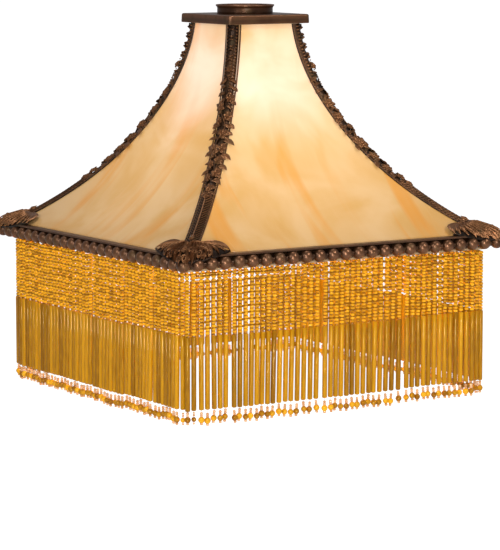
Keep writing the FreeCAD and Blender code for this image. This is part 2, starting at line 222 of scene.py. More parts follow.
def maths(tree, kind, a, b=0.0):
    """One sum on two values. Each is a socket or a plain number."""
    node = tree.nodes.new("ShaderNodeMath")
    node.operation = kind
    for value, socket in ((a, node.inputs[0]), (b, node.inputs[1])):
        if hasattr(value, "default_value"):
            tree.links.new(value, socket)
        else:
            socket.default_value = value
    return node.outputs[0]

# %% The patina group
def patina_group():
    """Warm metal with dark hollows, dull green-brown patches and bright worn high spots."""
    group, given, made = new_group("patina", {
        "Vector": ("NodeSocketVector", None),
        "Dark": ("NodeSocketColor", (0.03, 0.012, 0.009, 1)),
        "Warm": ("NodeSocketColor", (0.15, 0.06, 0.045, 1)),
        "Green": ("NodeSocketColor", (0.05, 0.05, 0.03, 1)),
        "Polish": ("NodeSocketFloat", 0.5), "Shine": ("NodeSocketFloat", 0.3)},
        {"Color": "NodeSocketColor", "Roughness": "NodeSocketFloat", "Height": "NodeSocketFloat"})
    vector = given.outputs["Vector"]
    broad = noise(group, vector, 38.0, 3.0)
    patches = ramp(group, noise(group, vector, 95.0, 4.0, 0.6), 0.5, 0.68)
    grain = noise(group, vector, 900.0, 3.0, 0.6)
    worn = maths(group, "ADD", maths(group, "MULTIPLY", given.outputs["Polish"], 0.75),
                 maths(group, "MULTIPLY", broad, 0.5))
    worn = ramp(group, worn, 0.25, 0.95)
    colour = mix(group, worn, given.outputs["Dark"], given.outputs["Warm"])
    colour = mix(group, maths(group, "MULTIPLY", patches, 0.45), colour, given.outputs["Green"])
    group.links.new(colour, made.inputs["Color"])
    rough = maths(group, "ADD", given.outputs["Shine"], maths(group, "MULTIPLY", patches, 0.18))
    rough = maths(group, "ADD", rough, maths(group, "MULTIPLY", grain, 0.10))
    group.links.new(rough, made.inputs["Roughness"])
    group.links.new(maths(group, "ADD", grain, maths(group, "MULTIPLY", broad, 2.0)), made.inputs["Height"])
    return group


PATINA = patina_group()

# %% Materials that use the patina
def start_material(name):
    """A new material, its node tree and its shader."""
    material = bpy.data.materials.new(name)
    material.use_nodes = True
    shader = material.node_tree.nodes["Principled BSDF"]
    return material, material.node_tree, shader


def bump(tree, height, shader, strength, distance=0.0003):
    """Tilts the surface by the slope of a height, as a fine relief would."""
    node = tree.nodes.new("ShaderNodeBump")
    node.inputs["Strength"].default_value = strength
    node.inputs["Distance"].default_value = distance
    tree.links.new(height, node.inputs["Height"])
    tree.links.new(node.outputs["Normal"], shader.inputs["Normal"])


def metal(name, dark, warm, green, shine, metallic, relief=0.35, coat=0.0, polished=False):
    """A metal finish from the patina group. Polished reads each point's tone as its wear."""
    material, tree, shader = start_material(name)
    place = tree.nodes.new("ShaderNodeTexCoord")
    group = tree.nodes.new("ShaderNodeGroup")
    group.node_tree = PATINA
    wire_up(tree, place, "Object", group, "Vector")
    for label, colour in (("Dark", dark), ("Warm", warm), ("Green", green)):
        group.inputs[label].default_value = (*colour, 1.0)
    group.inputs["Shine"].default_value = shine
    if polished:
        tone = tree.nodes.new("ShaderNodeAttribute")
        tone.attribute_name = "tone"
        wire_up(tree, tone, "Fac", group, "Polish")
    wire_up(tree, group, "Color", shader, "Base Color")
    wire_up(tree, group, "Roughness", shader, "Roughness")
    bump(tree, group.outputs["Height"], shader, relief)
    shader.inputs["Metallic"].default_value = metallic
    shader.inputs["Coat Weight"].default_value = coat
    shader.inputs["Coat Roughness"].default_value = 0.25
    return material


BRONZE = metal("dark bronze", (0.030, 0.013, 0.006), (0.20, 0.086, 0.038), (0.080, 0.056, 0.020),
               0.27, 0.80, relief=0.2, coat=0.15, polished=True)
CAST_BRONZE = metal("cast bronze", (0.014, 0.0065, 0.0030), (0.235, 0.098, 0.036), (0.068, 0.047, 0.017),
                    0.27, 0.75, relief=0.5, coat=0.05, polished=True)
PLATED = metal("plated steel", (0.30, 0.27, 0.20), (0.52, 0.47, 0.36), (0.22, 0.20, 0.14), 0.34, 0.9)
SCREW_STEEL = metal("screw steel", (0.20, 0.20, 0.20), (0.46, 0.45, 0.43), (0.18, 0.17, 0.15), 0.26, 0.95)
print("metal finishes:", BRONZE.name, CAST_BRONZE.name, PLATED.name, SCREW_STEEL.name)

# %% [markdown]
# ### Opal glass
#
# Opal glass is milky, so light from a bulb inside makes it glow all over
# instead of shining straight through. Streaks of amber run through the
# cream in lazy diagonals. The streaks follow the sheet as it was before it
# was bent, so they are painted in the sheet's own flat coordinates. The
# bulb's light is painted into the glass as emission: a painted hot spot near
# the place of the bulb, and a painted glow that fades with distance from it.

# %% The opal glass group and material
BULB = (0.0, 0.0, -0.088)


def opal_group():
    """Clouds and streaks in the flat sheet, and a painted glow that fades away from the bulb's place."""
    group, given, made = new_group("opal glass", {
        "Sheet": ("NodeSocketVector", None), "Place": ("NodeSocketVector", None),
        "Cream": ("NodeSocketColor", (0.73, 0.46, 0.205, 1)),
        "Tan": ("NodeSocketColor", (0.66, 0.36, 0.105, 1)),
        "Amber": ("NodeSocketColor", (0.72, 0.30, 0.045, 1)),
        "Glow": ("NodeSocketColor", (1.0, 0.83, 0.78, 1))},
        {"Color": "NodeSocketColor", "Light": "NodeSocketColor", "Height": "NodeSocketFloat"})
    turned = group.nodes.new("ShaderNodeMapping")
    turned.inputs["Rotation"].default_value = (0, 0, math.radians(52))
    turned.inputs["Scale"].default_value = (34.0, 5.0, 1.0)
    wire_up(group, given, "Sheet", turned, "Vector")
    clouds = noise(group, given.outputs["Sheet"], 14.0, 3.0, 0.5, 0.6)
    streaks = noise(group, turned.outputs["Vector"], 1.0, 2.5, 0.5, 0.7)
    fine = noise(group, turned.outputs["Vector"], 3.6, 3.0, 0.6, 0.8)
    colour = mix(group, ramp(group, clouds, 0.34, 0.70), given.outputs["Cream"], given.outputs["Tan"])
    colour = mix(group, maths(group, "MULTIPLY", ramp(group, streaks, 0.50, 0.74), 0.85),
                 colour, given.outputs["Amber"])
    colour = mix(group, maths(group, "MULTIPLY", ramp(group, fine, 0.5, 0.85), 0.25), colour,
                 given.outputs["Cream"])
    group.links.new(colour, made.inputs["Color"])
    # Painted light: the emission is brightest close to the bulb's place and fades further off. In the painted
    # hot spot the colour turns towards the Glow colour.
    away = group.nodes.new("ShaderNodeVectorMath")
    away.operation = "DISTANCE"
    wire_up(group, given, "Place", away, 0)
    away.inputs[1].default_value = BULB
    uneven = maths(group, "ADD", away.outputs["Value"], maths(group, "MULTIPLY", clouds, 0.05))
    near = ramp(group, uneven, 0.072, 0.125, 1.0, 0.0)
    far = ramp(group, away.outputs["Value"], 0.05, 0.24, 1.0, 0.0)
    level = maths(group, "ADD", maths(group, "MULTIPLY", near, 0.28), maths(group, "MULTIPLY", far, 0.78))
    level = maths(group, "ADD", level, 0.03)
    lit = mix(group, near, colour, given.outputs["Glow"])
    group.links.new(mix(group, 1.0, lit, level, "MULTIPLY"), made.inputs["Light"])
    group.links.new(maths(group, "ADD", clouds, maths(group, "MULTIPLY", fine, 0.3)), made.inputs["Height"])
    return group


def opal_glass():
    """The sheet's own flat coordinates place the streaks, and the place in the room sets the painted glow in
    the emission.
    """
    material, tree, shader = start_material("opal glass")
    place = tree.nodes.new("ShaderNodeTexCoord")
    group = tree.nodes.new("ShaderNodeGroup")
    group.node_tree = opal_group()
    wire_up(tree, place, "UV", group, "Sheet")
    wire_up(tree, place, "Object", group, "Place")
    wire_up(tree, group, "Color", shader, "Base Color")
    wire_up(tree, group, "Light", shader, "Emission Color")
    bump(tree, group.outputs["Height"], shader, 0.15, 0.0006)
    # The painted glow of the bulb's light goes into the emission.
    shader.inputs["Emission Strength"].default_value = 0.55
    shader.inputs["Roughness"].default_value = 0.16
    shader.inputs["IOR"].default_value = 1.5
    shader.inputs["Coat Weight"].default_value = 0.1
    shader.inputs["Coat Roughness"].default_value = 0.06
    return material


OPAL = opal_glass()
print("glass finish:", OPAL.name)

# %% [markdown]
# ### Bead glass, thread and tape
#
# The beads are clear amber glass with a little milk in it. Each bead keeps
# its own tone, because no two rods of bead glass are drawn alike. The tubes
# are satin, with fine streaks along them. The threads and the heading tape
# are cotton.

# %% Bead and cloth materials
def bead_glass(name, pale, deep, rough, clear, glow, streaky=False):
    """Amber glass whose colour goes from pale to deep with the bead's tone. Its highlights are
    tinted amber, because light is coloured on its way through the glass. The same colour is
    given off faintly as emission, a painted glow for light passing through the bead; glow sets its strength."""
    material, tree, shader = start_material(name)
    place = tree.nodes.new("ShaderNodeTexCoord")
    tone = tree.nodes.new("ShaderNodeAttribute")
    tone.attribute_name = "tone"
    stretch = tree.nodes.new("ShaderNodeMapping")
    along, fine = (0.12, 700.0) if streaky else (1.0, 260.0)
    stretch.inputs["Scale"].default_value = (1.0, 1.0, along)
    wire_up(tree, place, "Object", stretch, "Vector")
    cloud = noise(tree, stretch.outputs["Vector"], fine, 2.0)
    uneven = maths(tree, "MULTIPLY", maths(tree, "SUBTRACT", cloud, 0.5), 0.8)
    level = maths(tree, "ADD", tone.outputs["Fac"], uneven)
    colour = mix(tree, ramp(tree, level, 0.0, 1.0), pale, deep)
    tree.links.new(colour, shader.inputs["Base Color"])
    # Painted glow: the bead's own colour is also given off as a faint emission.
    tree.links.new(colour, shader.inputs["Emission Color"])
    bump(tree, cloud, shader, 0.08, 0.0002)
    shader.inputs["Emission Strength"].default_value = glow
    shader.inputs["Roughness"].default_value = rough
    shader.inputs["Transmission Weight"].default_value = clear
    shader.inputs["IOR"].default_value = 1.48
    shader.inputs["Specular Tint"].default_value = (1.0, 0.74, 0.30, 1.0)
    shader.inputs["Coat Weight"].default_value = 0.04
    shader.inputs["Coat Roughness"].default_value = 0.05
    return material


# The last number of each is the strength of its painted glow.
BEADS = bead_glass("amber bead glass", (0.90, 0.44, 0.014), (0.28, 0.098, 0.002), 0.16, 0.04, 0.08)
TUBES = bead_glass("satin tube glass", (0.60, 0.275, 0.004), (0.24, 0.094, 0.001), 0.11, 0.02, 0.05, True)
PINK = bead_glass("clear end beads", (0.95, 0.62, 0.36), (0.75, 0.38, 0.16), 0.08, 0.25, 0.08)


def cotton(name, colour, threads):
    """Plain weave: one wave for the warp and one across it for the weft."""
    material, tree, shader = start_material(name)
    place = tree.nodes.new("ShaderNodeTexCoord")
    waves = []
    for direction in ("X", "Z"):
        wave = tree.nodes.new("ShaderNodeTexWave")
        wave.bands_direction = direction
        wave.inputs["Scale"].default_value = threads
        wave.inputs["Distortion"].default_value = 0.4
        wire_up(tree, place, "Object", wave, "Vector")
        waves.append(wave.outputs["Fac"])
    weave = maths(tree, "MAXIMUM", *waves)
    pale = tuple(min(1.0, c * 1.5) for c in colour)
    tree.links.new(mix(tree, weave, colour, pale), shader.inputs["Base Color"])
    bump(tree, weave, shader, 0.5, 0.0003)
    shader.inputs["Roughness"].default_value = 0.9
    shader.inputs["Sheen Weight"].default_value = 0.3
    return material


TAPE = cotton("cotton heading tape", (0.36, 0.24, 0.12), 300.0)
THREAD = cotton("linen thread", (0.45, 0.30, 0.14), 900.0)

# %% [markdown]
# ## The bend of the glass
#
# Every panel is bent to one curve: steep under the cap and nearly flat at
# the foot. The same curve carries the panels, the corner ribs and the corner
# castings, so it is worked out once. Places on it are given by the distance
# walked down the curve from the cap, which keeps beads and rungs evenly
# spaced.

# %% Walking down the curve
CAP_TOP = -7.4
CURVE = np.array([(36.8, -2.0), (40.2, -70.6), (87.1, -152.7), (163.5, -201.2)])


def cubic(corners, share):
    """A cubic curve: each point is a mix of its four corners."""
    share = np.asarray(share)[:, None]
    a, b, c, d = corners
    return ((1 - share) ** 3 * a + 3 * share * (1 - share) ** 2 * b
            + 3 * share ** 2 * (1 - share) * c + share ** 3 * d)


def walk(points):
    """The points with the distance walked to each, starting from the first."""
    steps = np.hypot(*np.diff(points, axis=0).T)
    return np.concatenate([[0], np.cumsum(steps)]), points


GLASS_WALK = walk(cubic(CURVE, np.linspace(0, 1, 6001)))
CURVE_LENGTH = float(GLASS_WALK[0][-1])


def follow(distance, lift=0.0, path=None):
    """Half side and height of the point at a distance down a path, lifted straight out of it.
    Before its start and past its end the path runs straight on."""
    walked, points = path or GLASS_WALK
    distance = np.asarray(distance, float)
    inside = np.clip(distance, 0.5, walked[-1] - 0.5)
    spot = [np.interp(distance, walked, points[:, k]) for k in (0, 1)]
    ahead = [np.interp(inside + 0.5, walked, points[:, k]) - np.interp(inside - 0.5, walked, points[:, k])
             for k in (0, 1)]
    size = np.hypot(*ahead)
    run, fall = ahead[0] / size, ahead[1] / size
    past = distance - np.clip(distance, 0, walked[-1])
    return spot[0] + past * run - lift * fall, spot[1] + past * fall + lift * run + CAP_TOP


print("curve length: %.1f mm" % CURVE_LENGTH)

# %% [markdown]
# ## The four glass panels
#
# A panel is one slab 3 mm thick. Its section goes across the outside, round
# a ground edge, back across the inside and round the other edge. That closed
# section is carried down the curve. The hand-bent sheet is never quite
# true, so a ripple far finer than the bend runs through it.

# %% Glass panels
GLASS_THICK, EDGE_INSET = 3.0, 1.6 * math.sqrt(2)


def glass_panel(side, quarter):
    """A closed section (out, round the edge, back, round the other edge) carried down the curve.
    Its width is the half side at that distance, less the gap at the joint."""
    across, along = 40, 90
    round_edge = np.linspace(-math.pi / 2, math.pi / 2, 7)[1:-1]
    flat = np.linspace(-1, 1, across)
    share = np.concatenate([flat, np.ones(5), flat[::-1], -np.ones(5)])
    bulge = np.concatenate([np.zeros(across), np.cos(round_edge), np.zeros(across), np.cos(round_edge)])
    depth = np.concatenate([np.zeros(across), (1 + np.sin(round_edge)) / 2, np.ones(across),
                            (1 - np.sin(round_edge)) / 2])
    distance = np.linspace(4.0, CURVE_LENGTH - 0.15, along)[:, None]
    ripple = 0.12 * np.sin(distance / 9 + 5 * share + quarter) * np.cos(distance / 23 - 3 * share)
    half, z = follow(distance, -GLASS_THICK * depth + ripple)
    outer_half = follow(distance, 0.0)[0]
    width = np.minimum(half, outer_half) - EDGE_INSET - 0.9
    x = share * width + np.sign(share) * 0.9 * bulge
    points = np.stack([x, -half, z], -1)
    sheet = np.stack(np.broadcast_arrays(x * MM + quarter * 0.7, distance * MM), -1)
    shape = (turn(points.reshape(1, -1, 3), quarter), tube_faces(along, len(share)))
    return make_piece("bent_glass_" + side, [shape], OPAL, "shade", ["glass_" + side], uv=sheet)


for quarter, side in enumerate(SIDES):
    glass_panel(side, quarter)

# %% [markdown]
# ## Cap and fitter collar
#
# The cap is a square pan with its rim turned down, folded from sheet and
# soldered at the corners, so each corner keeps a fine upright seam. Its hole
# is round and its rim is square, so each ring of points goes part of the way
# from a circle to a rounded square. The collar is turned on a lathe, with a
# thin lip rolled outwards.

# %% The square cap
def rounded_square(angle, half, radius):
    """Where a ray at each angle meets a square with round corners."""
    c, s = np.abs(np.cos(angle)), np.abs(np.sin(angle))
    flat = half / np.maximum(c, s)
    centre = half - radius
    along = centre * (c + s)
    inside = np.maximum(along ** 2 - 2 * centre ** 2 + radius ** 2, 0)
    corner = along + np.sqrt(inside)
    in_corner = (np.minimum(c, s) * flat) > centre
    return np.where(in_corner, corner, flat)


def top_cap():
    """Rings from the hole outwards over the top, down the rim and back inside."""
    bend = np.linspace(0, math.pi / 2, 7)
    rings = [(0, 25.75, -1.8), (0, 25.75, -0.25), (0, 26.0, 0.0), (0.45, 0, 0.05), (1, -4.0, 0.0)]
    rings += [(1, -1.5 + 1.5 * math.sin(b), -1.5 + 1.5 * math.cos(b)) for b in bend]
    rings += [(1, 0.15, -5.0), (1, 0.25, -7.6), (1, 0.1, -8.3), (1, -0.5, -8.5), (1, -1.5, -8.4),
              (1, -1.8, -7.9), (1, -1.8, -2.0), (0.4, 0, -1.8)]
    angle = np.linspace(0, 2 * math.pi, 361)[:-1]
    centre = np.abs(angle % (math.pi / 2) - math.pi / 4)
    seam = np.exp(-(centre / 0.006) ** 2)
    rows = []
    for share, off, z in rings:
        square = rounded_square(angle, 43.8 + (off if share == 1 else 0), 2.2)
        square = square - 0.35 * seam * (share == 1) * (z < -0.5) * (z > -8.6)
        radius = (1 - share) * (off if share == 0 else 26.0) + share * square
        rows.append(np.stack([radius * np.cos(angle), radius * np.sin(angle), np.full(360, z + CAP_TOP)], -1))
    points = np.stack(rows, 1)
    wear = np.array([0.3, 0.4, 0.5, 0.35, 0.45] + [0.9] * 7 + [0.5, 0.6, 0.8, 0.5] + [0.2] * 4)
    shape = (points.reshape(1, -1, 3), ring_faces(360, len(rings)), np.tile(wear, 360)[None])
    return make_piece("square_cap", [shape], BRONZE, "shade", ["top_cap"], sharp=40)


def lathe(profile, around):
    """Turns a closed profile of (radius, height) about the upright axis."""
    angle = np.linspace(0, 2 * math.pi, around + 1)[:-1, None]
    radius, height = np.array(profile).T
    points = np.stack([radius * np.cos(angle), radius * np.sin(angle), height + 0 * angle], -1)
    return points.reshape(1, -1, 3), ring_faces(around, len(profile))


def fitter_collar():
    """Flange, neck and rolled lip as one closed profile, turned on the lathe."""
    roll = np.linspace(-0.3 * math.pi, 0.75 * math.pi, 9)
    profile = [(24.4, -10.8), (30.5, -10.8), (30.5, -9.3), (30.3, -9.2), (25.7, -9.2), (25.7, -7.6),
               (26.0, -7.3), (26.05, -5.0), (26.0, -2.2), (26.2, -1.4)]
    profile += [(26.7 + 0.8 * math.cos(a), 0.4 + 0.8 * math.sin(a)) for a in roll]
    profile += [(25.6, 0.9), (24.7, 0.2), (24.45, -0.8), (24.4, -5.0)]
    points, faces = lathe(profile, 128)
    wear = np.array([0.2, 0.2, 0.2, 0.2, 0.2, 0.3, 0.3, 0.35, 0.4, 0.5] + [0.9] * 9 + [0.6, 0.4, 0.2, 0.1])
    return make_piece("collar", [(points, faces, np.tile(wear, 128)[None])], BRONZE, "shade",
                      ["fitter_collar"], sharp=50)


top_cap()
fitter_collar()

# %% [markdown]
# ## Working flat, then folding round the corner
#
# The ribs and castings are ornament laid over the joint between two panels.
# It is much easier to draw ornament flat: across is the distance from the
# ridge, along is the distance down the curve, and lift is the height off the
# glass. Every leaf, wire and bead is made flat, and then one function folds
# all the points round the corner, which is slightly rounded.

# %% Folding flat ornament round a corner
RIDGE_RADIUS = 1.8


def fold(flat, path=None):
    """(across, along, lift) to a place on the front left corner of the shade."""
    across, along, lift = flat[..., 0], flat[..., 1], flat[..., 2]
    half, z = follow(along, lift, path)
    reach = RIDGE_RADIUS * math.pi / 4
    angle = np.clip(across / RIDGE_RADIUS, -math.pi / 4, math.pi / 4) + 1.25 * math.pi
    middle = RIDGE_RADIUS - half
    x = middle + RIDGE_RADIUS * np.cos(angle) + np.maximum(across - reach, 0)
    y = middle + RIDGE_RADIUS * np.sin(angle) + np.maximum(-across - reach, 0)
    return np.stack([x, y, z], -1)

# %% Leaves, wires and beads in the flat
LEAF_SECTION = np.array([(-1, 0.05), (-0.72, 0.62), (-0.28, 1.0), (0, 0.66), (0.28, 1.0), (0.72, 0.62),
                         (1, 0.05), (0.6, -0.25), (-0.6, -0.25)])
WIRE_SECTION = np.array([(math.cos(a), math.sin(a)) for a in np.linspace(0, 2 * math.pi, 7)[:-1]])


def sweep(path, width, height, lift, section):
    """Carries a section along flat paths. A path is (copies, steps, 2), and the section's
    first number goes sideways times the width, its second upwards times the height."""
    ahead = np.gradient(path, axis=1)
    ahead /= np.maximum(np.linalg.norm(ahead, axis=-1, keepdims=True), 1e-9)
    side = np.stack([-ahead[..., 1], ahead[..., 0]], -1)
    sideways = section[:, 0] * width[..., None]
    spots = path[:, :, None, :] + side[:, :, None, :] * sideways[..., None]
    up = lift[..., None] + section[:, 1] * height[..., None]
    flat = np.concatenate([spots, up[..., None]], -1)
    copies, steps = path.shape[:2]
    tone = np.clip((up - 0.6) / 3.0 + 0.15 * (section[:, 1] > 0.9), 0, 1)
    return flat.reshape(copies, -1, 3), tube_faces(steps, len(section)), tone.reshape(copies, -1)


def arc_path(start, bend, end, steps):
    """Quadratic curves: each point is a mix of the start, the bend and the end."""
    q = np.linspace(0, 1, steps)[:, None]
    start, bend, end = [np.asarray(p, float)[:, None] for p in (start, bend, end)]
    return (1 - q) ** 2 * start + 2 * q * (1 - q) * bend + q ** 2 * end


def leaves(rows, steps=13):
    """Leaves that follow a quadratic curve and swell in the middle like a sine. Rows are (start across,
    start along, bend across, bend along, end across, end along, half width, lift, height, curl)."""
    rows = np.atleast_2d(np.asarray(rows, float))
    path = arc_path(rows[:, 0:2], rows[:, 2:4], rows[:, 4:6], steps)
    q = np.linspace(0, 1, steps)
    shape = np.maximum(np.sin(math.pi * q ** 0.8) ** 0.75, 0.04)
    width = rows[:, 6:7] * shape
    height = rows[:, 8:9] * (0.25 + 0.75 * shape)
    lift = rows[:, 7:8] + rows[:, 9:10] * q ** 2
    return sweep(path, width, height, lift, LEAF_SECTION)


def wires(path, radius, lift, steps_taper=True):
    """Round wires along flat paths, thinner at both ends."""
    q = np.linspace(0, 1, path.shape[1])
    slim = np.maximum(np.sin(math.pi * q) ** 0.35, 0.25) if steps_taper else np.ones_like(q)
    size = np.broadcast_to(radius, path.shape[:1])[:, None] * slim
    height = np.broadcast_to(np.asarray(lift, float), path.shape[:1])[:, None] + 0 * size
    return sweep(path, size, size, height, WIRE_SECTION)


def scrolls(rows, steps=26):
    """Spirals. Rows are (across, along, outer radius, start angle, turns, hand)."""
    rows = np.atleast_2d(np.asarray(rows, float))
    q = np.linspace(0, 1, steps)
    angle = np.radians(rows[:, 3:4]) + rows[:, 5:6] * 2 * math.pi * rows[:, 4:5] * q
    radius = rows[:, 2:3] * (1 - 0.82 * q)
    return np.stack([rows[:, 0:1] + radius * np.cos(angle), rows[:, 1:2] + radius * np.sin(angle)], -1)


def studs(rows, rings=5, around=8):
    """Small balls in the flat. Rows are (across, along, lift, radius)."""
    rows = np.atleast_2d(np.asarray(rows, float))
    tilt = np.linspace(0.12, math.pi - 0.12, rings)[:, None]
    angle = np.linspace(0, 2 * math.pi, around + 1)[:-1]
    ball = np.stack(np.broadcast_arrays(np.sin(tilt) * np.cos(angle), np.sin(tilt) * np.sin(angle),
                                        np.cos(tilt)), -1).reshape(-1, 3)
    flat = rows[:, None, :3] + ball * rows[:, None, 3:4]
    tone = np.clip(flat[..., 2] / 2.6, 0, 1)
    return flat, tube_faces(rings, around), tone


def blossom(across, along, size, lift):
    """A ring of petals round a stud, with a second, smaller ring above it, turned by half a radian."""
    angle = np.radians(np.arange(6) * 60 + 15)

    def around(share, twist=0.0):
        """Points of a ring: its radius is a share of the size."""
        return [across + share * size * np.cos(angle + twist), along + share * size * np.sin(angle + twist)]

    n = np.ones(6)
    shape = [0.36 * size * n, lift * n, 0.9 * n, 0.5 * n]
    outer = np.stack(around(0.15) + around(0.6) + around(1.0) + shape, -1)
    inner = outer.copy()
    inner[:, 2:6] = np.stack(around(0.35, 0.5) + around(0.55, 0.5), -1)
    inner[:, 6:10] = [0.22 * size, lift + 0.6, 0.8, 0.3]
    return [leaves(outer, 9), leaves(inner, 7), studs([(across, along, lift + 1.0, 0.24 * size)])]


def band(across, start, end, half_width, lift, height, steps=120):
    """A plain strip that runs down the curve."""
    path = np.stack([np.full(steps, across), np.linspace(start, end, steps)], -1)[None]
    ones = np.ones((1, steps))
    section = np.array([(-1, 0), (-0.8, 0.8), (-0.35, 1), (0.35, 1), (0.8, 0.8), (1, 0), (0.7, -0.2),
                        (-0.7, -0.2)])
    return sweep(path, half_width * ones, height * ones, lift * ones, section)


def mirrored(rows, columns):
    """The rows again on the other side of the ridge."""
    rows = np.atleast_2d(np.asarray(rows, float))
    other = rows.copy()
    other[:, columns] *= -1
    return np.concatenate([rows, other])

# %% [markdown]
# ## The corner ribs
#
# A rib starts under the cap as a narrow laced strip. Half way down it opens
# into a vine with cupped blossoms and pointed leaves that overhang the
# glass, and it closes again into two columns of slanted rungs beside a plain
# spine. Under it all is a thin backing strip between two plain edge bands.

# %% The rib's parts, drawn flat
RIB_TOP, RIB_FOOT = 7.0, 230.0


def rib_ground():
    """The backing strip and the edge bands."""
    parts = [(*band(0, RIB_TOP, RIB_FOOT + 8, 6.3, 0.35, 0.5)[:2], 0.25)]
    for hand in (-1, 1):
        parts.append(band(hand * 8.0, RIB_TOP, RIB_FOOT + 4, 0.75, 0.55, 1.3))
        parts.append(band(hand * 6.3, RIB_TOP, 60, 0.35, 0.7, 0.8))
    return parts


def laced_strip():
    """Crescents and scrolls down the middle, with studs along both sides."""
    parts = []
    rows = mirrored([(5.0, s, 1.5, 0.95) for s in np.arange(9.5, 60, 3.1)], [0])
    parts.append(studs(rows))
    for s in np.arange(12, 58, 9.2):
        q = np.linspace(-1.15, 1.15, 9)
        for size, off, hand in ((3.3, 0, 1), (2.6, 4.4, -1)):
            path = np.stack([size * np.sin(q), s + off - hand * size * (np.cos(q) - 0.6)], -1)[None]
            parts.append(wires(path, np.array([0.85]), [1.6]))
    spots = [(hand * 1.6, s, 2.0, 90 * hand, 1.3, hand) for s in np.arange(9, 56, 9.2) for hand in (-1, 1)]
    parts.append(wires(scrolls(spots, 16), np.full(len(spots), 0.45), [1.2] * len(spots)))
    dots = [(2.0, s, 1.9, 0.62) for s in np.arange(35, 69, 2.35)]
    parts.append(studs(dots))
    return parts


def vine():
    """A winding stem with leaves on both sides, and cupped blossoms."""
    down = np.linspace(56, 176, 100)
    stem = np.stack([3.2 * np.sin((down - 56) / 24 * 2 * math.pi / 1.6), down], -1)[None]
    parts = [wires(stem, np.array([0.85]), [1.6])]
    rows = []
    for k, s in enumerate(np.arange(58, 172, 6.3)):
        for hand in (-1, 1):
            reach = 7.8 + 1.6 * math.sin(k * 2.1 + hand) + (1.2 if 98 < s < 166 else 0)
            rise = 4.2 + 1.2 * math.cos(k * 1.7)
            rows.append((hand * 0.8, s, hand * reach * 0.55, s - 1.2, hand * reach, s + rise,
                         1.75, 1.0, 1.25, 1.0))
    parts.append(leaves(rows, 9))
    big = [
        (-6, 103, -9, 101, -11.5, 107, 2.6, 1.3, 1.5, 1.2),
        (-5, 108, -9, 108, -11.2, 112, 2.0, 1.2, 1.3, 1.0),
        (-4, 116, -9, 114, -13.5, 119, 1.7, 1.2, 1.3, 2.0),
        (-6, 131, -11, 130, -14.0, 136, 2.4, 1.2, 1.4, 1.8),
        (-5, 141, -9, 141, -12.0, 144, 1.4, 1.0, 1.2, 1.6),
        (-4, 150, -9, 149, -13.0, 156, 2.3, 1.2, 1.4, 1.6),
        (5, 104, 9, 101, 13.0, 107, 2.5, 1.3, 1.5, 1.4), (5, 109, 9, 110, 12.4, 113, 2.0, 1.2, 1.3, 1.2),
        (4, 118, 10, 116, 16.0, 124, 2.3, 1.3, 1.4, 2.0), (4, 133, 10, 131, 15.4, 139, 2.3, 1.3, 1.4, 1.9),
        (4, 144, 9, 143, 13.6, 149, 2.5, 1.2, 1.4, 1.2), (3, 157, 7, 157, 11.2, 165, 1.9, 1.1, 1.3, 1.4),
        (1, 170, 0, 172, -0.5, 178, 1.7, 1.2, 1.2, 0.8), (3, 172, 4.5, 174, 5.0, 180, 1.6, 1.2, 1.2, 0.8),
        (-4, 60, -8, 60, -10.6, 64, 2.0, 1.1, 1.3, 0.6), (-4, 71, -8, 71, -10.8, 75, 2.1, 1.1, 1.3, 0.6),
        (4, 66, 8, 66, 10.4, 70, 2.0, 1.1, 1.3, 0.6), (4, 79, 8, 79, 10.6, 83, 2.1, 1.1, 1.3, 0.6),
    ]
    parts.append(leaves(big))
    blossoms = [
        (-5.4, 84.5, 6.2, 2.2), (4.6, 76.0, 4.4, 1.8), (5.0, 93.0, 5.0, 2.0), (-4.6, 98.0, 4.6, 2.0),
        (3.4, 111.0, 5.0, 2.2), (-5.0, 127.5, 7.4, 2.6), (5.0, 125.0, 4.8, 2.2), (3.6, 138.0, 4.6, 2.2),
        (-4.2, 142.0, 4.8, 2.2), (4.4, 151.0, 5.2, 2.2), (-3.8, 156.0, 4.4, 2.0), (1.2, 167.0, 4.8, 2.0),
    ]
    for across, along, size, lift in blossoms:
        parts += blossom(across, along, size, lift)
    rings = [(6.2, 149, 2.6, 0, 1.25, 1), (6.0, 138, 2.4, 90, 1.25, -1), (-5.0, 146, 2.2, 180, 1.25, -1),
             (-5.4, 97, 2.3, 0, 1.25, 1), (-4.8, 163, 2.2, 60, 1.2, 1), (5.0, 75, 2.2, 0, 1.2, 1)]
    parts.append(wires(scrolls(rings), np.full(len(rings), 0.6), [1.9] * len(rings)))
    dots = [(hand * 6.9, s, 1.3, 0.55) for s in np.arange(62, 176, 3.0) for hand in (-1, 1)]
    parts.append(studs(dots))
    return parts


def rungs():
    """Slanted bars like a herringbone on both sides of a plain spine."""
    parts = [band(0, 172, RIB_FOOT + 4, 1.0, 0.6, 1.5)]
    places = np.arange(177, RIB_FOOT + 4, 2.95)
    for hand in (-1, 1):
        start = np.stack([np.full(len(places), hand * 1.0), places], -1)
        end = np.stack([np.full(len(places), hand * 7.6), places - 3.4], -1)
        path = arc_path(start, (start + end) / 2 + [0, 0.5], end, 6)
        parts.append(wires(path, np.full(len(places), 0.8), np.full(len(places), 1.6), False))
    return parts


SCREW_PLACES = np.interp([0.22, 0.48, 0.74], np.linspace(0, 1, 6001), GLASS_WALK[0])


def screw_covers():
    """A rosette over the blind end of each screw that holds the rib from inside. It stands a
    little higher than the rest, to clear the screw."""
    parts, higher = [], np.array([1.0, 1.0, 1.05])
    for along in SCREW_PLACES:
        parts.append(studs([(0, along, 0.9, 2.2)], 7, 14))
        parts += blossom(0, along, 3.6, 1.8)
    return [(flat * higher, faces, tone) for flat, faces, tone in parts]


